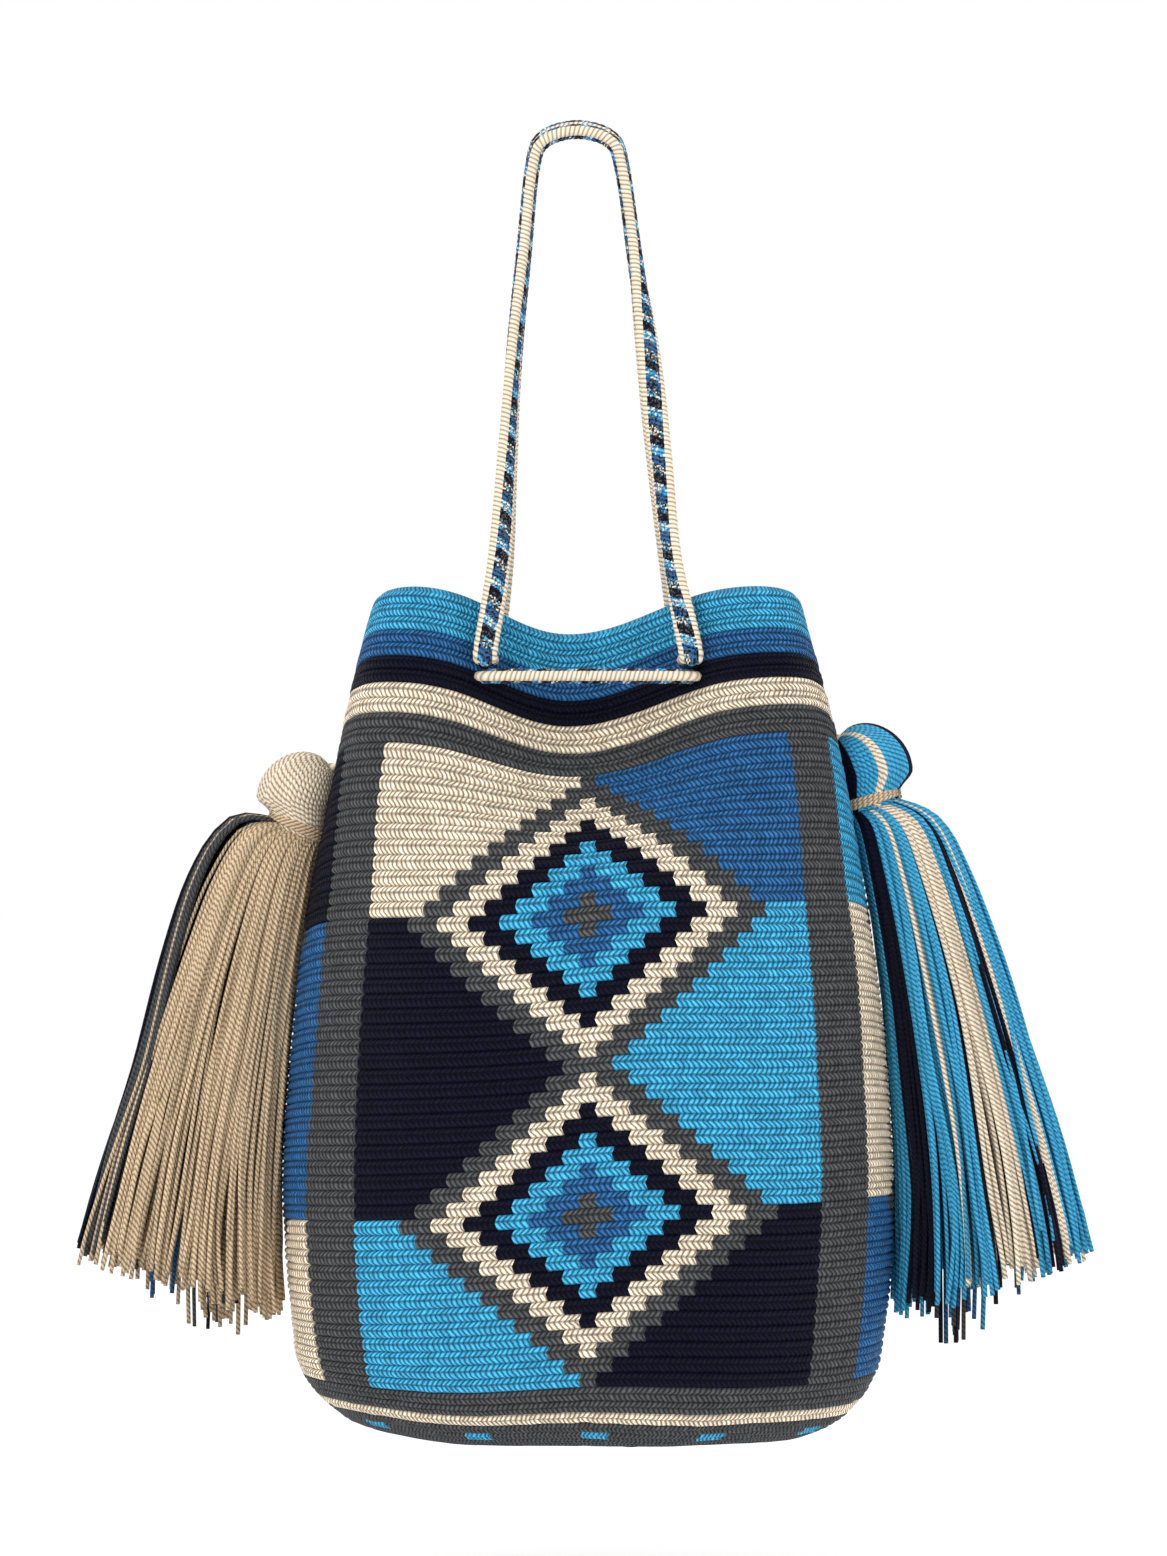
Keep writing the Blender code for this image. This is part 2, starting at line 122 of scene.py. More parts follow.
# Cord mesh: steps along, sides round, the twisted ropes at its edges and the braid between them
CORD_STEP = 0.0005
CORD_SIDES = 32
ROPE_RADIUS = 0.00155
ROPE_PITCH = 0.0029
BRAID_HALF = 0.00235
DASH_LENGTH = 0.0031
ROPE_RELIEF = 0.00010
BRAID_RELIEF = 0.00012
BRAID_PITCH = 0.0022

# Dashes along the braid, each with the threads it mixes
DASHES = ("navy", "grey", "mid", "light")
DASH_MIX = {
    "navy": ("navy", "navy", "navy", "grey"),
    "grey": ("grey", "cream", "grey", "navy", "light"),
    "mid": ("mid", "mid", "grey", "navy"),
    "light": ("light", "light", "mid", "cream"),
}

# Tassels
HEAD_RADIUS = 0.0117
HEAD_HEIGHTS = {"left": 0.2058, "right": 0.2150}
HEAD_FIT = 0.0003
SKIRT_HEIGHTS = (0.1956, 0.1926, 0.1875, 0.1775, 0.1550, 0.1230, 0.0910, 0.0640, 0.0470)
SKIRT_OUTER_EDGES = (0.1015, 0.1025, 0.1150, 0.1230, 0.1320, 0.1430, 0.1535, 0.1605, 0.1640)
NECK_WIDTH = 0.0162
SKIRT_FIT = 0.0006
SKIRT_DEPTH = 0.80
SKIRT_END_SLANT = 0.0100
NECK_TILTS = {"left": math.tan(math.radians(25.0)), "right": math.tan(math.radians(17.0))}
NECK_TILT_REACH = 0.0065
BUNDLE_BULGE = 0.0042
RIGHT_SKIRT_SLIMMING = 0.0024
STRAND_RADIUS = 0.00072
STRANDS = 330
OUTER_SHARE = 0.70
OUTER_DEPTHS = (0.88, 1.0)
INNER_DEPTHS = (0.35, 0.86)
HIDDEN_DEPTH = 0.62
STRAND_POINTS = 30
FLYAWAYS = 9
BUNDLE_EDGE = -0.78
HEAD_STRANDS = 46
HEAD_STRAND_RADIUS = 0.00098
HEAD_WRAP = math.radians(114.0)
TIE_RADIUS = 0.00066
TIE_WRAPS = 3
STRAND_PITCH = 0.0024
LOCKS = 34
LOCK_SWAY = 0.0010
PEG_RADIUS = 0.0017
PEG_TILT = math.radians(36.0)
PEG_PITCH = 0.0040
KNOT_TURNS = 3
KNOT_RADIUS = 0.0026
KNOT_THREAD = 0.0014
KNOT_STEP = 0.0016

# Tassel stripes from the left edge at -1 to the right at 1, as the place where each begins
SKIRT_STRIPES = {
    "left": ((-1.0, "navy"), (-0.975, "grey"), (-0.90, "ecru"), (-0.86, "grey"), (BUNDLE_EDGE, "ecru")),
    "right": ((-1.0, "light"), (-0.86, "navy"), (-0.63, "light"), (-0.34, "cream"), (-0.27, "light"),
              (-0.02, "cream"), (0.46, "navy"), (0.50, "light"), (0.64, "navy"), (0.70, "cream"),
              (0.80, "light")),
}
HEAD_STRIPES = {
    "left": ((-1.0, "cream"),),
    "right": ((-1.0, "navy"), (-0.62, "light"), (-0.08, "cream"), (0.30, "light"), (0.84, "navy")),
}
END_YARNS = {"left": ("navy", "mid", "grey", "ecru", "ecru"), "right": ("grey", "navy", "mid", "light")}
FLYAWAY_YARNS = {"left": ("ecru", "ecru"), "right": ("cream", "light")}

# Camera and stage
IMAGE = (1167, 1556)
METRES_PER_PIXEL = 0.00032
CAMERA_DISTANCE = 1.6
FRAME_CENTRE = (-0.0014, 0.2096)
FLOOR_DROP = 0.06


def linear(red, green, blue):
    """A colour given as 0 to 255 display values, in the renderer's linear values."""
    shares = np.array((red, green, blue)) / 255.0
    return tuple(np.where(shares <= 0.04045, shares / 12.92, ((shares + 0.055) / 1.055) ** 2.4))


YARNS = {
    "cream": linear(218, 202, 179),
    "ecru": linear(195, 171, 140),
    "light": linear(60, 154, 195),
    "mid": linear(40, 90, 139),
    "navy": linear(8, 9, 29),
    "grey": linear(70, 71, 73),
}


def smooth(low, high, value):
    """A soft step from 0 at low to 1 at high."""
    share = np.clip((value - low) / (high - low), 0.0, 1.0)
    return share * share * (3.0 - 2.0 * share)


def half_size(height, axis):
    """Half of the bag's width (axis 0) or depth (axis 1) at a height."""
    above = np.clip((height - BELLY_HEIGHT) / (BODY_HEIGHT - BELLY_HEIGHT), 0.0, 1.0)
    below = np.clip((BELLY_HEIGHT - height) / BELLY_HEIGHT, 0.0, 1.0)
    shoulder = (BELLY_HALF[axis] - MOUTH_HALF[axis]) * above ** SHOULDER_POWER
    return BELLY_HALF[axis] - shoulder - BASE_DRAW_IN[axis] * below ** 2


def edge_inset(height):
    """How far the rounded base edge draws in at a height."""
    drop = np.clip((EDGE_ROUND - height) / EDGE_ROUND, 0.0, 1.0)
    return EDGE_ROUND * (1.0 - math.sqrt(1.0 - drop * drop))


def outline(height, fractions):
    """Points round the bag at one height, spaced by girth from the front centre."""
    turn = np.linspace(0.0, 2.0 * math.pi, 1441)
    half_width = half_size(height, 0) - edge_inset(height)
    half_depth = half_size(height, 1) - edge_inset(height)
    gather = smooth(PINCH_FOOT, PINCH_TOP, height)
    power = 2.0 / (BELLY_SQUARENESS + (MOUTH_SQUARENESS - BELLY_SQUARENESS) * gather)
    sine = np.sin(turn)
    cosine = np.cos(turn)
    x = half_width * np.sign(sine) * np.abs(sine) ** power
    y = -half_depth * np.sign(cosine) * np.abs(cosine) ** power
    valley = np.cos(0.5 * math.pi * x / half_width) ** 2
    y = y - np.sign(y) * PINCH * gather * valley * smooth(0.0, 0.004, np.abs(y))
    step = np.hypot(np.diff(x), np.diff(y))
    girth = np.concatenate(([0.0], np.cumsum(step)))
    fractions = np.asarray(fractions)
    spread = FACE_SPREAD * smooth(BELLY_HEIGHT, PINCH_TOP, height)
    fractions = fractions + spread * np.sin(4.0 * math.pi * fractions) / (4.0 * math.pi)
    wanted = fractions * girth[-1]
    x = np.interp(wanted, girth, x)
    y = np.interp(wanted, girth, y)
    dip_reach = half_width - CENTRE_DIP_X * np.sign(x - CENTRE_DIP_X)
    dip = CENTRE_DIP * np.cos(0.5 * math.pi * (x - CENTRE_DIP_X) / dip_reach) ** 4
    dip = dip + SIDE_DIP * np.exp(-((y / SIDE_DIP_REACH) ** 2)) * smooth(0.035, 0.060, np.abs(x))
    z = height - dip * smooth(DIP_FOOT, BODY_HEIGHT, height)
    return np.stack((x, y, z), axis=1)


def row_shares(levels):
    """Share of a column's path from the base edge at each row level."""
    heights = [height for count, height in reversed(ROW_GROUPS) for _ in range(count)]
    edges = np.concatenate(([0.0], np.cumsum(heights)))
    return np.interp(levels, np.arange(ROWS + 1), edges / edges[-1])


def wall_surface(levels, columns):
    """Wall points by row level and column, and their outward normals."""
    fractions = np.arange(columns) / columns
    arc = EDGE_ROUND * (1.0 - np.cos(np.linspace(0.0, 0.5 * math.pi, 40)))
    heights = np.concatenate((arc, np.linspace(EDGE_ROUND, BODY_HEIGHT, 200)[1:]))
    grid = np.stack([outline(height, fractions) for height in heights])
    step = np.linalg.norm(np.diff(grid, axis=0), axis=2)
    path = np.concatenate((np.zeros((1, columns)), np.cumsum(step, axis=0)))
    points = np.empty((len(levels), columns, 3))
    shares = row_shares(levels)
    middle = smooth(0.0, 15.0, levels) * smooth(ROWS, ROWS - 18.0, levels)
    for column in range(columns):
        run = path[:, column]
        rough = np.interp(shares * run[-1], run, grid[:, column, 0])
        wanted = shares * run[-1] + ROW_SLOPE * rough * middle
        for axis in range(3):
            points[:, column, axis] = np.interp(wanted, run, grid[:, column, axis])
    around = np.roll(points, -1, axis=1) - np.roll(points, 1, axis=1)
    normals = np.cross(around, np.gradient(points, axis=0))
    normals /= np.linalg.norm(normals, axis=2, keepdims=True)
    return points, normals


def half_width_at(height):
    """Half width at a real height on the side, after the rim's dip there."""
    levels = np.linspace(0.0, BODY_HEIGHT, 600)
    lowered = levels - SIDE_DIP * smooth(DIP_FOOT, BODY_HEIGHT, levels)
    before_dip = float(np.interp(height, lowered, levels))
    return half_size(before_dip, 0) - edge_inset(before_dip)


def shifted(values, shift):
    """Values round a closed row, read at places moved by a share of a column."""
    whole = math.floor(shift)
    part = shift - whole
    return (1.0 - part) * np.roll(values, -whole, axis=0) + part * np.roll(values, -whole - 1, axis=0)


def link_mesh(name, vertices, faces, colours, uvs, material):
    """A smooth mesh piece; colours are per face, uvs per face corner."""
    mesh = bpy.data.meshes.new(name)
    vertices = np.asarray(vertices) - HANG_POINT
    mesh.from_pydata(vertices.tolist(), [], faces)
    mesh.polygons.foreach_set("use_smooth", [True] * len(mesh.polygons))
    layer = mesh.color_attributes.new("yarn", "FLOAT_COLOR", "CORNER")
    sizes = np.array([len(face) for face in faces])
    rgba = np.concatenate((np.asarray(colours), np.ones((len(colours), 1))), axis=1)
    layer.data.foreach_set("color", np.repeat(rgba, sizes, axis=0).ravel())
    mesh.uv_layers.new(name="thread").data.foreach_set("uv", np.asarray(uvs).ravel())
    mesh.update()
    piece = bpy.data.objects.new(name, mesh)
    bpy.context.scene.collection.objects.link(piece)
    mesh.materials.append(material)
    return piece


def quad_uvs(left, right, low, high):
    """The four corners of one face, round from the lower left."""
    return (left, low), (right, low), (right, high), (left, high)


def new_material(name):
    """A material with its nodes, links and shader."""
    material = bpy.data.materials.new(name)
    material.use_nodes = True
    nodes = material.node_tree.nodes
    links = material.node_tree.links
    return material, nodes, links, nodes["Principled BSDF"]


def math_node(nodes, links, operation, first, second=None):
    """Result of one sum of two values or sockets."""
    node = nodes.new("ShaderNodeMath")
    node.operation = operation
    for socket, value in zip(node.inputs, (first, second)):
        if value is None:
            continue
        if isinstance(value, (int, float)):
            socket.default_value = value
        else:
            links.new(value, socket)
    return node.outputs[0]


def wave(nodes, links, phase, power):
    """Rounded humps, one per whole step of the phase."""
    turn = math_node(nodes, links, "MULTIPLY", phase, math.pi)
    hump = math_node(nodes, links, "ABSOLUTE", math_node(nodes, links, "SINE", turn))
    return math_node(nodes, links, "POWER", hump, power)


def noise(nodes, links, vector, scale, detail=2.0):
    """Cloudy shares from 0 to 1, stretched by a scale on each axis."""
    stretch = nodes.new("ShaderNodeVectorMath")
    stretch.operation = "MULTIPLY"
    stretch.inputs[1].default_value = scale
    links.new(vector, stretch.inputs[0])
    made = nodes.new("ShaderNodeTexNoise")
    made.inputs["Scale"].default_value = 1.0
    made.inputs["Detail"].default_value = detail
    links.new(stretch.outputs[0], made.inputs["Vector"])
    return made.outputs["Fac"]


def remap(nodes, links, value, low, high):
    """A share from 0 to 1 moved to a range."""
    made = nodes.new("ShaderNodeMapRange")
    made.inputs["To Min"].default_value = low
    made.inputs["To Max"].default_value = high
    links.new(value, made.inputs["Value"])
    return made.outputs[0]


def cotton(nodes, links, shader, height, tints_and_painted_shading, depth, sheen):
    """Yarn colour from the mesh times every tint, some of them painted shade and painted highlight, with the
    strands' relief and a soft nap.
    """
    bump = nodes.new("ShaderNodeBump")
    bump.inputs["Strength"].default_value = 1.0
    bump.inputs["Distance"].default_value = depth
    links.new(height, bump.inputs["Height"])
    links.new(bump.outputs[0], shader.inputs["Normal"])
    colour = nodes.new("ShaderNodeVertexColor")
    colour.layer_name = "yarn"
    level = tints_and_painted_shading[0]
    for tint in tints_and_painted_shading[1:]:
        level = math_node(nodes, links, "MULTIPLY", level, tint)
    mixed = nodes.new("ShaderNodeVectorMath")
    mixed.operation = "SCALE"
    links.new(colour.outputs[0], mixed.inputs[0])
    links.new(level, mixed.inputs["Scale"])
    links.new(mixed.outputs[0], shader.inputs["Base Color"])
    shader.inputs["Roughness"].default_value = 0.58
    shader.inputs["Specular IOR Level"].default_value = 0.10
    shader.inputs["Sheen Weight"].default_value = sheen
    shader.inputs["Sheen Roughness"].default_value = 0.4


def crochet_material():
    """Rows of two lines of slanted strokes that meet like arrow heads; painted shade between rows and
    strokes, painted highlight on strokes.
    """
    material, nodes, links, shader = new_material("crochet_cotton")
    uv = nodes.new("ShaderNodeUVMap")
    uv.uv_map = "thread"
    split = nodes.new("ShaderNodeSeparateXYZ")
    links.new(uv.outputs[0], split.inputs[0])
    stitch, row = split.outputs[0], split.outputs[1]
    place = math_node(nodes, links, "FRACT", row)
    from_seam = math_node(nodes, links, "ABSOLUTE", math_node(nodes, links, "SUBTRACT", place, SEAM))
    lean = math_node(nodes, links, "MULTIPLY", from_seam, STROKE_LEAN)
    sway = noise(nodes, links, uv.outputs[0], (0.9, 1.7, 1.0))
    sway = math_node(nodes, links, "MULTIPLY", sway, 0.35)
    leaned = math_node(nodes, links, "SUBTRACT", stitch, math_node(nodes, links, "SUBTRACT", lean, sway))
    phase = math_node(nodes, links, "MULTIPLY", leaned, float(STROKES_PER_STITCH))
    strand = wave(nodes, links, phase, 1.0)
    from_edge = math_node(nodes, links, "MINIMUM", place, math_node(nodes, links, "SUBTRACT", 1.0, place))
    groove = math_node(nodes, links, "MINIMUM", 1.0, math_node(
        nodes, links, "ADD", 0.35, math_node(nodes, links, "MULTIPLY", from_edge, 7.0)))
    seam = math_node(nodes, links, "MINIMUM", 1.0, math_node(
        nodes, links, "ADD", 0.15, math_node(nodes, links, "MULTIPLY", from_seam, 8.0)))
    line = math_node(nodes, links, "MULTIPLY", groove, seam)
    fibres = noise(nodes, links, uv.outputs[0], (26.0, 11.0, 1.0), 3.0)
    height = math_node(nodes, links, "MULTIPLY", math_node(nodes, links, "ADD", strand, 0.5), line)
    height = math_node(nodes, links, "ADD", height, math_node(nodes, links, "MULTIPLY", fibres, 0.35))
    each = nodes.new("ShaderNodeTexWhiteNoise")
    each.noise_dimensions = "2D"
    cell = nodes.new("ShaderNodeCombineXYZ")
    links.new(math_node(nodes, links, "FLOOR", phase), cell.inputs[0])
    half_row = math_node(nodes, links, "MULTIPLY", row, 2.0)
    links.new(math_node(nodes, links, "FLOOR", half_row), cell.inputs[1])
    links.new(cell.outputs[0], each.inputs["Vector"])
    position = nodes.new("ShaderNodeTexCoord")
    patches = noise(nodes, links, position.outputs["Object"], (70.0, 70.0, 70.0))
    # The strand and line tints are painted shade, darker in the gaps between strokes, between a row's two
    # lines and between rows, and a painted highlight, lighter on each stroke; the others are random tone,
    # fibres and patches.
    tints_and_painted_shading = (
        remap(nodes, links, strand, 0.26, 1.62),
        remap(nodes, links, line, 0.40, 1.10),
        remap(nodes, links, each.outputs["Value"], 0.82, 1.18),
        remap(nodes, links, fibres, 0.80, 1.20),
        remap(nodes, links, patches, 0.90, 1.10),
    )
    cotton(nodes, links, shader, height, tints_and_painted_shading, 0.0007, 0.02)
    return material


def thread_material(name, strokes, twist, depth, dark, sheen=0.03):
    """Plied cotton thread: slanted plies round and along it, with fine fibres, painted shade between the
    plies and a painted highlight on them.
    """
    material, nodes, links, shader = new_material(name)
    uv = nodes.new("ShaderNodeUVMap")
    uv.uv_map = "thread"
    split = nodes.new("ShaderNodeSeparateXYZ")
    links.new(uv.outputs[0], split.inputs[0])
    around = math_node(nodes, links, "MULTIPLY", split.outputs[0], strokes)
    along = math_node(nodes, links, "MULTIPLY", split.outputs[1], twist)
    strand = wave(nodes, links, math_node(nodes, links, "ADD", around, along), 0.8)
    fibres = noise(nodes, links, uv.outputs[0], (9.0, 5.0, 1.0), 3.0)
    height = math_node(nodes, links, "ADD", strand, math_node(nodes, links, "MULTIPLY", fibres, 0.4))
    position = nodes.new("ShaderNodeTexCoord")
    patches = noise(nodes, links, position.outputs["Object"], (120.0, 120.0, 60.0))
    # The strand tint is painted shade between the plies, down to the dark value, and a painted highlight on
    # them; fibres and patches are random tone.
    tints_and_painted_shading = (
        remap(nodes, links, strand, dark, 1.30),
        remap(nodes, links, fibres, 0.86, 1.14),
        remap(nodes, links, patches, 0.88, 1.12),
    )
    cotton(nodes, links, shader, height, tints_and_painted_shading, depth, sheen)
    return material


def panel_place(stitch):
    """Which of the three panels a stitch is in, and its distance from that panel's centre."""
    moved = stitch + PANEL_STITCHES // 2
    return (moved // PANEL_STITCHES) % 3, moved % PANEL_STITCHES - PANEL_STITCHES // 2


def stitch_yarn(stitch, row):
    """Yarn of a stitch: bands at the rim, nested diamonds between fields, bands at the foot."""
    for yarn, end in RIM_BANDS:
        if row < end:
            return yarn
    if row >= PANEL_BOTTOM:
        if row == PANEL_BOTTOM + 2:
            return "cream"
        marked = row == PANEL_BOTTOM + 4 and stitch % 9 < 2
        return "light" if marked else "grey"
    panel, across = panel_place(stitch)
    if abs(across) > PANEL_HALF:
        return "grey"
    near = min(abs(across) + abs(row - centre) for centre in DIAMOND_ROWS)
    for yarn, reach in DIAMOND_RINGS:
        if near <= reach:
            return yarn
    fields = FRONT_FIELDS if panel == 0 else SIDE_FIELDS
    step = sum(row >= centre for centre in DIAMOND_ROWS)
    return fields[0 if across < 0 else 1][step]


def row_relief(phase):
    """Outward relief across one crochet row: two rounded lines with a groove between rows."""
    lines = RIDGE * np.abs(np.sin(2.0 * math.pi * phase)) ** 0.7
    edge = np.minimum(phase, 1.0 - phase)
    return lines - ROW_GROOVE * np.exp(-((edge / 0.10) ** 2))


def base_rings(edge):
    """Rings of the base from near its centre out to the wall's lowest ring, with their row marks."""
    rings = []
    marks = []
    for number in range(BASE_ROWS * BASE_LINES_PER_ROW):
        share = (number + 1.0) / (BASE_ROWS * BASE_LINES_PER_ROW + 1.0)
        ring = edge * np.array((share, share, 1.0))
        ring[:, 2] = RIDGE * abs(math.sin(math.pi * share * BASE_ROWS))
        rings.append(ring)
        marks.append(-BASE_ROWS + share * BASE_ROWS)
    return rings, marks


def wall_rings(levels, smooth_wall, normals):
    """Rings up the outside, leaned to and fro with each row, with its relief and some unevenness."""
    rng = np.random.default_rng(7)
    rings = []
    phases = levels % 1.0
    relief = row_relief(phases)
    unevenness = rng.normal(0.0, 0.00012, (ROWS + 1, STITCHES))
    waves = rng.uniform(0.0, 2.0 * math.pi, 6)
    columns = smooth_wall.shape[1]
    around = np.arange(columns) / columns * 2.0 * math.pi
    half = COLUMNS_PER_STITCH / 2.0
    for index, level in enumerate(levels):
        lean = STITCH_LEAN * COLUMNS_PER_STITCH * (abs(2.0 * phases[index] - 1.0) - 0.5)
        lean *= min(1.0, level)
        wall = shifted(smooth_wall[index], lean - half)
        out = shifted(normals[index], lean - half)
        row = min(int(level), ROWS - 1)
        bumps = np.repeat(unevenness[row], COLUMNS_PER_STITCH)
        swell = 0.0005 * np.sin(3.0 * around + waves[0] + level * 0.21) * np.sin(level * 0.13 + waves[1])
        swell = swell + 0.0004 * np.sin(7.0 * around + waves[2] - level * 0.17)
        fade = min(1.0, level / 3.0)
        push = relief[index] * min(1.0, level + 0.2) + (bumps + swell) * fade
        ring = wall + out * push[:, None]
        ring[:, 2] = np.maximum(ring[:, 2], 0.0002)
        rings.append(ring)
    return rings


def inner_rings(smooth_wall, normals):
    """Rings over the rim and down the inside to the floor, with their row marks."""
    rings = []
    marks = []
    half = COLUMNS_PER_STITCH / 2.0
    for share in (0.25, 0.5, 0.75):
        ring = shifted(smooth_wall[-1] - normals[-1] * WALL * share, -half)
        ring[:, 2] += 0.0016 * math.sin(math.pi * share)
        rings.append(ring)
        marks.append(ROWS - 0.01)
    for level in range(ROWS, 2, -1):
        index = level * LINES_PER_ROW
        depth = WALL + (0.0004 if level % 2 else 0.0)
        ring = shifted(smooth_wall[index] - normals[index] * depth, -half)
        ring[:, 2] = np.maximum(ring[:, 2], WALL)
        rings.append(ring)
        marks.append(level - 0.5)
    return rings, marks


def body_faces(marks, columns, wall_start, wall_end):
    """Faces between the rings, closed at the inner floor and the base, each in its stitch's yarn."""
    faces = []
    colours = []
    uvs = []
    for ring in range(len(marks) - 1):
        if ring < wall_start:
            row = PANEL_BOTTOM + 5
        elif ring < wall_end:
            row = ROWS - 1 - int(0.5 * (marks[ring] + marks[ring + 1]))
        else:
            row = ROWS - 1 - min(int(marks[ring + 1]), ROWS - 1)
        yarns = [YARNS[stitch_yarn(stitch, row)] for stitch in range(STITCHES)]
        low, high = marks[ring], marks[ring + 1]
        if ring >= wall_end:
            low, high = high, low
        for column in range(columns):
            after = (column + 1) % columns
            faces.append((ring * columns + column, ring * columns + after,
                          (ring + 1) * columns + after, (ring + 1) * columns + column))
            colours.append(yarns[column // COLUMNS_PER_STITCH])
            left = column / COLUMNS_PER_STITCH
            uvs.extend(quad_uvs(left, left + 1.0 / COLUMNS_PER_STITCH, low, high))
    last = (len(marks) - 1) * columns
    floor_centre = len(marks) * columns
    for column in range(columns):
        after = (column + 1) % columns
        faces.append((last + column, last + after, floor_centre))
        faces.append((after, column, floor_centre + 1))
        colours.extend((YARNS["grey"], YARNS["grey"]))
        uvs.extend(((0.0, 0.0), (0.5, 0.0), (0.25, 0.5)) * 2)
    return faces, colours, uvs


def crocheted_body(material):
    """Bag body stitched row by row, rolled over at the rim and closed by a ringed base."""
    columns = STITCHES * COLUMNS_PER_STITCH
    levels = np.arange(ROWS * LINES_PER_ROW + 1) / LINES_PER_ROW
    smooth_wall, normals = wall_surface(levels, columns)
    rings, marks = base_rings(smooth_wall[0])
    wall_start = len(rings)
    rings.extend(wall_rings(levels, smooth_wall, normals))
    marks.extend(levels)
    wall_end = len(rings) - 1
    more_rings, more_marks = inner_rings(smooth_wall, normals)
    rings.extend(more_rings)
    marks.extend(more_marks)
    vertices = np.concatenate((*rings, [(0.0, 0.0, WALL), (0.0, 0.0, 0.0)]))
    low_left = smooth(CORNER_TOP, 0.0, vertices[:, 2]) * smooth(CORNER_INNER, BELLY_HALF[0], -vertices[:, 0])
    vertices[:, 2] += CORNER_RISE * low_left
    faces, colours, uvs = body_faces(marks, columns, wall_start, wall_end)
    return link_mesh("crocheted_body", vertices, faces, colours, uvs, material)


def spline(points, step, closed):
    """Evenly spaced points on a smooth curve through the given ones."""
    points = np.asarray(points, dtype=float)
    if closed:
        padded = np.concatenate((points[-1:], points, points[:2]))
    else:
        padded = np.concatenate((2 * points[:1] - points[1:2], points, 2 * points[-1:] - points[-2:-1]))
    dense = []
    for index in range(len(padded) - 3):
        a, b, c, d = padded[index:index + 4]
        for share in np.linspace(0.0, 1.0, 24, endpoint=False):
            square = share * share
            cube = square * share
            dense.append(0.5 * (2 * b + (c - a) * share + (2 * a - 5 * b + 4 * c - d) * square
                                + (3 * b - a - 3 * c + d) * cube))
    dense.append(padded[-2])
    dense = np.array(dense)
    run = np.concatenate(([0.0], np.cumsum(np.linalg.norm(np.diff(dense[:, :3], axis=0), axis=1))))
    count = max(4, int(round(run[-1] / step)))
    wanted = np.linspace(0.0, run[-1], count + 1)
    if closed:
        wanted = wanted[:-1]
    stations = np.stack([np.interp(wanted, run, dense[:, axis]) for axis in range(dense.shape[1])], axis=1)
    return stations, run[-1]


def wall_y(x, height):
    """Depth of the front wall at a distance from the middle, just above a height."""
    ring = outline(height + 0.006, np.linspace(0.0, 0.25, 200))
    return float(np.interp(x, ring[:, 0], ring[:, 1]))


def cord_controls(front, side):
    """Half of one draw cord with the way its flat side runs: from the arch down a leg, through
    the bag and along the far wall to its middle. The back cord mirrors it front to back."""
    sign = side_sign(side)
    legs = wall_y(EYELET_X, UPPER_PASS)
    level = UPPER_PASS if front else LOWER_PASS
    out = 0.5 * CORD_WIDTH
    across = (1.0, 0.0, 0.0)
    through = (0.0, 1.0, 0.0)
    clearance, entry, inner, entry_rise = LEG_FOOT["front" if front else "back"]
    clear = legs - clearance
    top = APEX_UNDERSIDE + 0.5 * CORD_THICKNESS + (0.0 if front else BACK_ARCH_LIFT)
    arch = top - ARCH_RISE
    controls = [
        ((APEX_X, -HANDLE_SPREAD, top), through),
        ((APEX_X + sign * 0.74 * ARCH_HALF, -HANDLE_SPREAD, arch + 0.74 * ARCH_RISE), through),
        ((APEX_X + sign * ARCH_HALF, -HANDLE_SPREAD, arch), through),
    ]
    for height, half, forward, turn in zip(LEG_HEIGHTS, LEG_HALF, LEG_FORWARD, LEG_TURNS[side]):
        lean = APEX_X * (height - level) / (arch - level)
        depth = -HANDLE_SPREAD + forward * (clear + HANDLE_SPREAD)
        flat = (math.sin(math.radians(turn)), math.cos(math.radians(turn)), 0.0)
        controls.append(((lean + sign * half, depth, height), flat))
    far = -legs + out + STRETCH_OFF_WALL
    controls.extend([
        ((sign * EYELET_X, legs - entry, level + entry_rise), across),
        ((sign * EYELET_X, legs - inner, level), across),
        ((sign * EYELET_X, 0.75 * legs, level), across),
        ((sign * EYELET_X, 0.5 * legs, level), across),
        ((sign * EYELET_X, 0.0, level), across),
        ((sign * EYELET_X, -0.5 * legs, level), across),
        ((sign * EYELET_X, -legs + STRETCH_CORNER, level), across),
        ((sign * (EYELET_X - STRETCH_CORNER_IN), -legs + out + STRETCH_CORNER, level),
         (-sign * 0.7, 0.7, 0.0)),
        ((sign * 0.5 * EYELET_X, far, level), through),
        ((0.0, far, level), through),
    ])
    return controls


def cord_section():
    """Radius of the cord's section by turn: two rope edges beside a fuller braided middle."""
    turns = np.arange(CORD_SIDES) * 2.0 * math.pi / CORD_SIDES
    centre = 0.5 * CORD_WIDTH - ROPE_RADIUS
    reach = ROPE_RADIUS ** 2 - (centre * np.sin(turns)) ** 2
    rope = np.where(reach > 0.0, centre * np.abs(np.cos(turns)) + np.sqrt(np.maximum(reach, 0.0)), 0.0)
    return turns, np.maximum(rope, BRAID_HALF), rope > BRAID_HALF


def dash_yarn(turn, run, rng):
    """Yarn of the braided middle: slanted dashes in a set order, each with a few odd threads."""
    slanted = run / DASH_LENGTH - 0.42 * math.cos(turn) * math.copysign(1.0, math.sin(turn))
    dash = DASHES[int(math.floor(slanted)) % len(DASHES)]
    return rng.choice(DASH_MIX[dash])


def cord_stations(front):
    """Evenly spaced places round one closed draw cord, each with its flat direction, and its length."""
    leaving = cord_controls(front, "left")
    returning = cord_controls(front, "right")
    controls = [(*point, *flat) for point, flat in leaving]
    controls.extend((*point, *flat) for point, flat in reversed(returning[1:-1]))
    middle = len(leaving) - 1
    controls = controls[middle:] + controls[:middle]
    stations, length = spline(controls, CORD_STEP, True)
    if not front:
        stations[:, 1] *= -1.0
        stations[:, 4] *= -1.0
    return stations, length


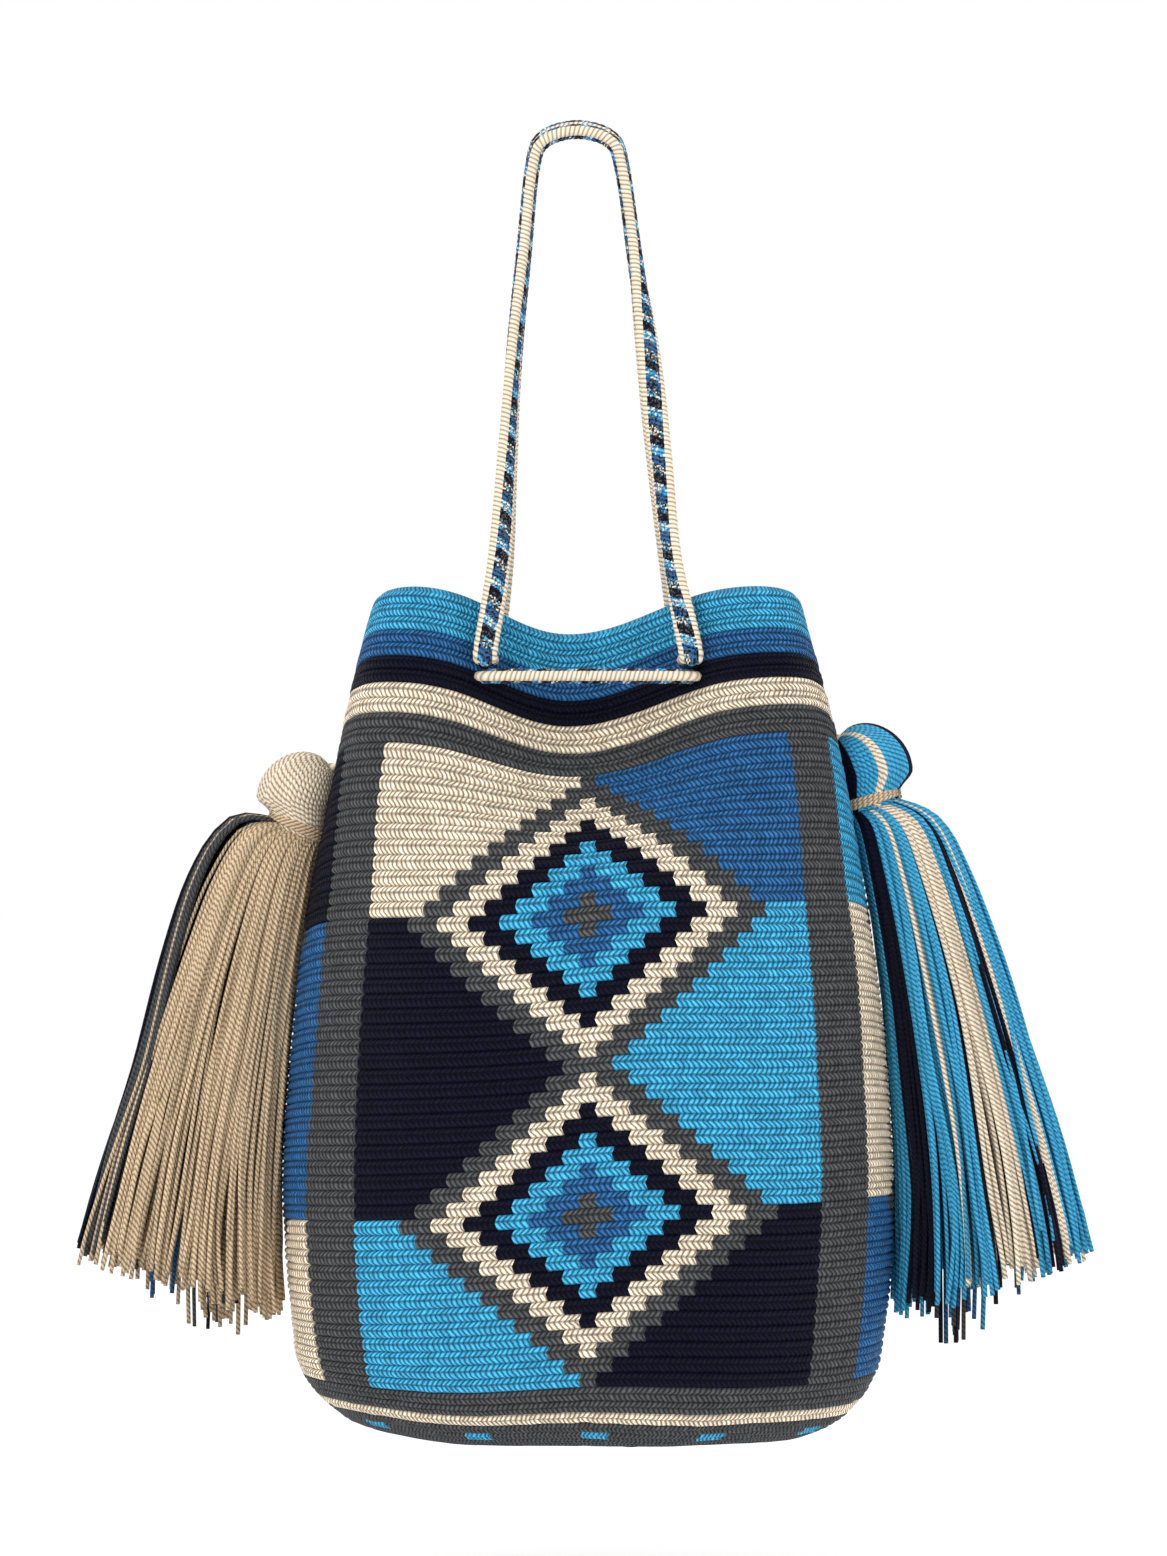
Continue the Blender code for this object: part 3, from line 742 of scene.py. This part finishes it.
def cord_rings(stations, section):
    """A ring of the cord's section at every station, with the ropes' and the braid's relief."""
    turns, radii, is_rope = section
    tangents = np.roll(stations[:, :3], -1, axis=0) - np.roll(stations[:, :3], 1, axis=0)
    rings = np.empty((len(stations), CORD_SIDES, 3))
    previous = None
    for number in range(len(stations)):
        along = Vector(tangents[number]).normalized()
        flat = Vector(stations[number, 3:])
        flat = (flat - flat.dot(along) * along).normalized()
        if previous is not None and flat.dot(previous) < 0.0:
            flat.negate()
        previous = flat
        normal = along.cross(flat)
        run = number * CORD_STEP
        for place, turn in enumerate(turns):
            if is_rope[place]:
                relief = ROPE_RELIEF * math.sin(2.0 * math.pi * run / ROPE_PITCH + 3.0 * turn)
            else:
                relief = BRAID_RELIEF * math.sin(2.0 * math.pi * (run / BRAID_PITCH + 1.2 * math.cos(turn)))
            radius = radii[place] + relief
            offset = flat * radius * math.cos(turn) + normal * radius * math.sin(turn)
            rings[number, place] = stations[number, :3] + np.array(offset)
    return rings


def draw_cord(name, front, material):
    """Braid with a twisted cream rope along each edge, as one closed loop through its eyelets."""
    stations, length = cord_stations(front)
    section = cord_section()
    is_rope = section[2]
    rings = cord_rings(stations, section)
    rng = random.Random(11 if front else 12)
    joins = [np.linalg.norm(rings[-1] - np.roll(rings[0], -turn, axis=0)) for turn in range(CORD_SIDES)]
    join_shift = int(np.argmin(joins))
    faces = []
    colours = []
    uvs = []
    for number in range(len(stations)):
        after = (number + 1) % len(stations)
        turn_shift = join_shift if after == 0 else 0
        run = number * CORD_STEP
        low = run / ROPE_PITCH
        high = (run + CORD_STEP) / ROPE_PITCH
        for place in range(CORD_SIDES):
            beside = (place + 1) % CORD_SIDES
            faces.append((number * CORD_SIDES + place, number * CORD_SIDES + beside,
                          after * CORD_SIDES + (beside + turn_shift) % CORD_SIDES,
                          after * CORD_SIDES + (place + turn_shift) % CORD_SIDES))
            roped = is_rope[place] and is_rope[beside]
            middle_turn = (place + 0.5) * 2.0 * math.pi / CORD_SIDES
            colours.append(YARNS["cream"] if roped else YARNS[dash_yarn(middle_turn, run, rng)])
            uvs.extend(quad_uvs(place / CORD_SIDES, (place + 1) / CORD_SIDES, low, high))
    piece = link_mesh(name, rings.reshape(-1, 3), faces, colours, uvs, material)
    path = [tuple(point) for point in stations[::10, :3] - HANG_POINT]
    return piece, path, length


def tube(points, radius, sides, colour, store, twist_pitch=STRAND_PITCH):
    """Adds one thread to a store of vertices, faces, colours and uvs."""
    points = np.asarray(points)
    tangents = np.gradient(points, axis=0)
    tangents /= np.linalg.norm(tangents, axis=1, keepdims=True)
    aside = np.cross(tangents, np.array((0.31, 0.87, 0.12)))
    aside /= np.linalg.norm(aside, axis=1, keepdims=True)
    upward = np.cross(tangents, aside)
    run = np.concatenate(([0.0], np.cumsum(np.linalg.norm(np.diff(points, axis=0), axis=1))))
    first = store["count"]
    offset = first * 0.0137 % 1.0
    turns = np.arange(sides) * 2.0 * math.pi / sides
    widths = np.full(len(points), radius) if np.isscalar(radius) else np.asarray(radius)
    rings = points[:, None] + widths[:, None, None] * (
        np.cos(turns)[None, :, None] * aside[:, None] + np.sin(turns)[None, :, None] * upward[:, None])
    store["vertices"].append(rings.reshape(-1, 3))
    store["count"] += len(points) * sides
    for number in range(len(points) - 1):
        low = run[number] / twist_pitch + offset
        high = run[number + 1] / twist_pitch + offset
        for place in range(sides):
            beside = (place + 1) % sides
            ring = first + number * sides
            store["faces"].append((ring + place, ring + beside, ring + sides + beside, ring + sides + place))
            store["colours"].append(colour)
            store["uvs"].extend(quad_uvs(place / sides, (place + 1) / sides, low, high))
    for start in (first, first + (len(points) - 1) * sides):
        store["faces"].append(tuple(start + place for place in range(sides)))
        store["colours"].append(colour)
        store["uvs"].extend(((0.5, 0.5),) * sides)


def new_store():
    """An empty store that tube fills, one per piece."""
    return {"vertices": [], "faces": [], "colours": [], "uvs": [], "count": 0}


def store_piece(name, store, material):
    """The mesh piece made of a store's threads."""
    return link_mesh(name, np.concatenate(store["vertices"]), store["faces"], store["colours"],
                     store["uvs"], material)


def side_sign(side):
    return -1.0 if side == "left" else 1.0


def head_centre(side):
    """Distance outward and height of a tassel head's centre."""
    height = HEAD_HEIGHTS[side]
    return half_width_at(height) + HEAD_RADIUS + HEAD_FIT, height


def skirt_profile(side):
    """Centre, half width and height of the skirt's rings, outward from the bag."""
    lift = HEAD_HEIGHTS[side] - HEAD_HEIGHTS["left"]
    rings = []
    for index, (height, outer) in enumerate(zip(SKIRT_HEIGHTS, SKIRT_OUTER_EDGES)):
        raised = height + lift * (1.0 - index / (len(SKIRT_HEIGHTS) - 1))
        inner = half_width_at(raised) + SKIRT_FIT
        if index < 2:
            outer = inner + NECK_WIDTH
        rings.append((0.5 * (inner + outer), 0.5 * (outer - inner), raised))
    return np.array(rings)


def skirt_path(side):
    """The skirt's rings joined smoothly, in even steps down the skirt."""
    path, _ = spline(skirt_profile(side), 0.001, False)
    if side == "right":
        spare = RIGHT_SKIRT_SLIMMING * smooth(0.0, 0.2, np.linspace(0.0, 1.0, len(path)))
        path[:, 0] -= 0.5 * spare
        path[:, 1] -= 0.5 * spare
    return path


def neck(side):
    """Middle, height and outward lean of the neck under the head."""
    profile = skirt_profile(side)
    middle = 0.5 * (profile[0] + profile[1])
    lean = (profile[1, 0] - profile[0, 0]) / (profile[0, 2] - profile[1, 2])
    return middle[0], middle[2], lean


def neck_tilted(side, out, level):
    """Heights near the neck, raised on its outer side as the tie lies aslant."""
    middle, height, _ = neck(side)
    near = np.exp(-(((level - height) / NECK_TILT_REACH) ** 2))
    return level + NECK_TILTS[side] * (out - middle) * near


def stripe_yarn(stripes, place):
    """Yarn at a place across the tassel, from its left edge at -1 to its right edge at 1."""
    chosen = stripes[0][1]
    for start, yarn in stripes:
        if place >= start:
            chosen = yarn
    return chosen


def rounded_square(value):
    """A cosine or sine pushed outward, for a section fuller than an ellipse."""
    return math.copysign(abs(value) ** 0.80, value)


def strand_shares(end):
    """Places down a strand, closer together near the neck."""
    return end * np.linspace(0.0, 1.0, STRAND_POINTS) ** 1.6


def strand_points(side, rng, turn, depth, end, sway):
    """One strand of the skirt, from the neck down to its cut end, swaying with its lock."""
    lock = random.Random(int(turn * LOCKS / (2.0 * math.pi)))
    sway = sway + lock.gauss(0.0, LOCK_SWAY)
    beat = lock.uniform(0.7, 1.5) + rng.uniform(-0.1, 0.1)
    phase = lock.uniform(0.0, 6.3) + rng.uniform(-0.5, 0.5)
    path = skirt_path(side)
    shares = strand_shares(end)
    knots = np.linspace(0.0, 1.0, len(path))
    middle = np.interp(shares, knots, path[:, 0])
    half = np.interp(shares, knots, path[:, 1]) - STRAND_RADIUS
    level = np.interp(shares, knots, path[:, 2]) - np.maximum(shares - 1.0, 0.0) * path[0, 2]
    across = rounded_square(math.cos(turn))
    through = rounded_square(math.sin(turn))
    swing = sway * np.sin(2.0 * math.pi * beat * shares + phase) * shares
    out = np.maximum(middle + half * depth * across + swing, middle - half)
    deep = SKIRT_DEPTH * half * depth * through + 0.8 * swing
    level = neck_tilted(side, out, level) + SKIRT_END_SLANT * across * shares ** 2
    return np.stack((side_sign(side) * out, deep, level), axis=1)


def tassel(side, material):
    """Flaring skirt of loose plied strands under a head of folded ones."""
    rng = random.Random(21 if side == "left" else 22)
    sign = side_sign(side)
    stores = {}
    for number in range(STRANDS):
        turn = 2.0 * math.pi * (number * 0.618034 % 1.0)
        layer = rng.random()
        depth = rng.uniform(*(OUTER_DEPTHS if layer < OUTER_SHARE else INNER_DEPTHS))
        end = rng.uniform(0.95, 1.0) if layer < 0.90 else rng.uniform(0.90, 1.03)
        sway = rng.gauss(0.0, 0.0008)
        place = sign * rounded_square(math.cos(turn)) + rng.gauss(0.0, 0.018)
        yarn = stripe_yarn(SKIRT_STRIPES[side], place)
        if depth < HIDDEN_DEPTH:
            yarn = rng.choice(END_YARNS[side])
            end = rng.uniform(0.97, 1.05)
        points = strand_points(side, rng, turn, depth, end, sway)
        if side == "left" and place < BUNDLE_EDGE:
            shares = strand_shares(end)
            points[:, 0] -= BUNDLE_BULGE * smooth(0.0, 0.14, shares) * smooth(0.62, 0.20, shares)
            points[:, 2] += 0.8 * BUNDLE_BULGE * smooth(0.0, 0.08, shares) * smooth(0.36, 0.08, shares)
        # Random tone per strand, times painted shade that darkens the deeper strands inside the skirt.
        shade = rng.uniform(0.86, 1.06) * (0.70 + 0.34 * smooth(INNER_DEPTHS[1], OUTER_DEPTHS[1], depth))
        colour = tuple(channel * shade for channel in YARNS[yarn])
        store = stores.setdefault(yarn, new_store())
        tube(points, STRAND_RADIUS * rng.uniform(0.92, 1.12), 6, colour, store)
    for _ in range(FLYAWAYS):
        turn = rng.uniform(0.0, 2.0 * math.pi)
        yarn = rng.choice(FLYAWAY_YARNS[side])
        points = strand_points(side, rng, turn, 1.01, rng.uniform(0.6, 1.02), rng.choice((-1, 1)) * 0.0026)
        tube(points, STRAND_RADIUS * 0.9, 6, YARNS[yarn], stores.setdefault(yarn, new_store()))
    pieces = [store_piece(side + "_skirt_" + yarn, store, material) for yarn, store in stores.items()]
    pieces.append(tassel_head(side, material))
    return pieces


def tassel_head(side, material):
    """Strands folded over from the hanging cord's side, round the head and in to the neck."""
    rng = random.Random(31 if side == "left" else 32)
    sign = side_sign(side)
    centre, height = head_centre(side)
    middle, neck_height, lean = neck(side)
    neck_radius = 0.5 * NECK_WIDTH - 0.0006
    store = new_store()
    for number in range(HEAD_STRANDS):
        angle = 2.0 * math.pi * number / HEAD_STRANDS
        yarn = stripe_yarn(HEAD_STRIPES[side], sign * math.cos(angle) + rng.gauss(0.0, 0.02))
        shade = rng.uniform(0.92, 1.05)
        colour = tuple(channel * shade for channel in YARNS[yarn])
        controls = []
        for share in np.linspace(0.04, 1.0, 9):
            polar = HEAD_WRAP * share
            tilt = (0.5 * math.pi - PEG_TILT) * (1.0 - share) ** 1.2
            out = math.sin(polar) * math.cos(angle)
            rise = math.cos(polar)
            tilted_out = out * math.cos(tilt) - rise * math.sin(tilt)
            tilted_rise = out * math.sin(tilt) + rise * math.cos(tilt)
            radius = HEAD_RADIUS - 0.0004
            place = centre - lean * radius * tilted_rise + radius * tilted_out
            depth = radius * math.sin(polar) * math.sin(angle)
            controls.append((place, depth, height + radius * tilted_rise))
        for level in (neck_height, neck_height - 0.0026):
            place = middle + lean * (neck_height - level) + neck_radius * math.cos(angle)
            controls.append((place, neck_radius * math.sin(angle), level))
        points, _ = spline(controls, 0.0016, False)
        points[:, 2] = neck_tilted(side, points[:, 0], points[:, 2])
        points[:, 0] *= sign
        tube(points, HEAD_STRAND_RADIUS, 6, colour, store)
    core = []
    widths = []
    for tilt in np.radians(np.linspace(88.0, -60.0, 12)):
        rise = HEAD_RADIUS * math.sin(tilt)
        core.append((sign * (centre - lean * rise), 0.0, height + rise * 0.92))
        widths.append((HEAD_RADIUS - 0.0012) * max(0.05, math.cos(tilt)))
    tube(core, widths, 20, YARNS[stripe_yarn(HEAD_STRIPES[side], 0.0)], store)
    return store_piece(side + "_tassel_head", store, material)


def neck_tie(side, material):
    """Ecru thread wound tightly round the neck, aslant."""
    middle, height, lean = neck(side)
    store = new_store()
    points = []
    for step in range(TIE_WRAPS * 24 + 1):
        turn = 2.0 * math.pi * step / 24.0
        rise = 0.0011 * (step / 24.0 - 0.5 * TIE_WRAPS)
        radius = 0.5 * NECK_WIDTH + 0.0007
        out = middle - lean * rise + radius * math.cos(turn)
        points.append((out, radius * math.sin(turn), height + rise))
    points = np.array(points)
    points[:, 2] = neck_tilted(side, points[:, 0], points[:, 2])
    points[:, 0] *= side_sign(side)
    tube(points, TIE_RADIUS, 7, YARNS["ecru"], store)
    return store_piece(side + "_tie_thread", store, material)


def hanging_cord(side, material):
    """Cream cord from its knot inside the wall, through the wall and into the tassel head."""
    sign = side_sign(side)
    centre, height = head_centre(side)
    lean = neck(side)[2]
    rise = HEAD_RADIUS * math.sin(PEG_TILT)
    level = height + rise
    reach = centre - lean * rise - HEAD_RADIUS * math.cos(PEG_TILT)
    inside = half_width_at(level) - WALL - 0.0052
    controls = ((inside, 0.0, level), (0.5 * (inside + reach), 0.0, level), (reach + 0.0010, 0.0, level))
    stations, _ = spline(controls, 0.0008, False)
    stations[:, 0] *= sign
    store = new_store()
    tube(stations, PEG_RADIUS, 12, YARNS["cream"], store, PEG_PITCH)
    for number in range(KNOT_TURNS):
        turn = np.linspace(0.0, 2.0 * math.pi, 18)
        along = inside - KNOT_STEP + KNOT_STEP * number + 0.5 * KNOT_STEP * np.sin(turn)
        ring = np.stack((sign * along, KNOT_RADIUS * np.cos(turn), level + KNOT_RADIUS * np.sin(turn)),
                        axis=1)
        tube(ring, KNOT_THREAD, 8, YARNS["cream"], store, PEG_PITCH)
    return store_piece(side + "_hanger_cord", store, material)


def camera():
    """Long lens straight in front, framed as the photo is."""
    data = bpy.data.cameras.new("view")
    made = bpy.data.objects.new("view", data)
    bpy.context.scene.collection.objects.link(made)
    data.sensor_fit = "VERTICAL"
    data.sensor_height = 36.0
    data.lens = data.sensor_height * CAMERA_DISTANCE / (IMAGE[1] * METRES_PER_PIXEL)
    place = np.array((FRAME_CENTRE[0], -CAMERA_DISTANCE, FRAME_CENTRE[1])) - HANG_POINT
    made.location = place
    made.rotation_euler = (math.radians(90.0), 0.0, 0.0)
    bpy.context.scene.camera = made


def area_light(name, place, target, size, power):
    """Soft rectangular lamp at a place, aimed at a target."""
    data = bpy.data.lights.new(name, "AREA")
    data.shape = "RECTANGLE"
    data.size = size[0]
    data.size_y = size[1]
    data.energy = power
    made = bpy.data.objects.new(name, data)
    made.location = place
    made.rotation_euler = (Vector(target) - Vector(place)).to_track_quat("-Z", "Y").to_euler()
    bpy.context.scene.collection.objects.link(made)


def stage():
    """Pale floor, white background and soft lights."""
    floor_z = -HANG_POINT[2] - FLOOR_DROP
    mesh = bpy.data.meshes.new("floor")
    corners = [(-6, -4, floor_z), (6, -4, floor_z), (6, 8, floor_z), (-6, 8, floor_z)]
    mesh.from_pydata(corners, [], [(0, 1, 2, 3)])
    floor = bpy.data.objects.new("floor", mesh)
    bpy.context.scene.collection.objects.link(floor)
    material, _, _, shader = new_material("pale_floor")
    shader.inputs["Base Color"].default_value = (1.0, 1.0, 1.0, 1.0)
    shader.inputs["Roughness"].default_value = 0.9
    mesh.materials.append(material)
    world = bpy.data.worlds.new("studio")
    bpy.context.scene.world = world
    world.use_nodes = True
    background = world.node_tree.nodes["Background"]
    background.inputs["Color"].default_value = (1.0, 1.0, 1.0, 1.0)
    background.inputs["Strength"].default_value = 1.0
    middle = (0.0, 0.0, -0.25)
    area_light("key", (-0.9, -1.6, 0.9), middle, (0.9, 0.9), 13.0)
    area_light("fill", (1.5, -1.3, 0.2), middle, (1.2, 1.6), 4.0)
    area_light("top", (0.1, 0.2, 1.5), middle, (1.4, 1.4), 5.0)


bpy.context.scene.view_settings.view_transform = "Standard"
camera()
stage()

crochet = crochet_material()
# The last value of each is how dark the painted shade between plies is.
braid = thread_material("braided_cotton", 4.0, 2.0, 0.0003, 0.40)
strand = thread_material("twisted_cotton", 2.0, 1.4, 0.0004, 0.34)

for front, label in ((True, "front"), (False, "back")):
    cord, path, length = draw_cord(label + "_handle_cord", front, braid)
    node = label + "_draw_cord"
    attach(cord, "bag")
    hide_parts(node)

body = crocheted_body(crochet)
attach(body, "bag")
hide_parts("bag_body")

for side in ("left", "right"):
    for piece in tassel(side, strand):
        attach(piece, side + "_tassel")
        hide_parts(side + "_tassel")
    tie = neck_tie(side, strand)
    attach(tie, side + "_tassel")
    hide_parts(side + "_neck_tie")
    hanger = hanging_cord(side, strand)
    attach(hanger, side + "_hanger")
    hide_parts(side + "_hanging_cord")
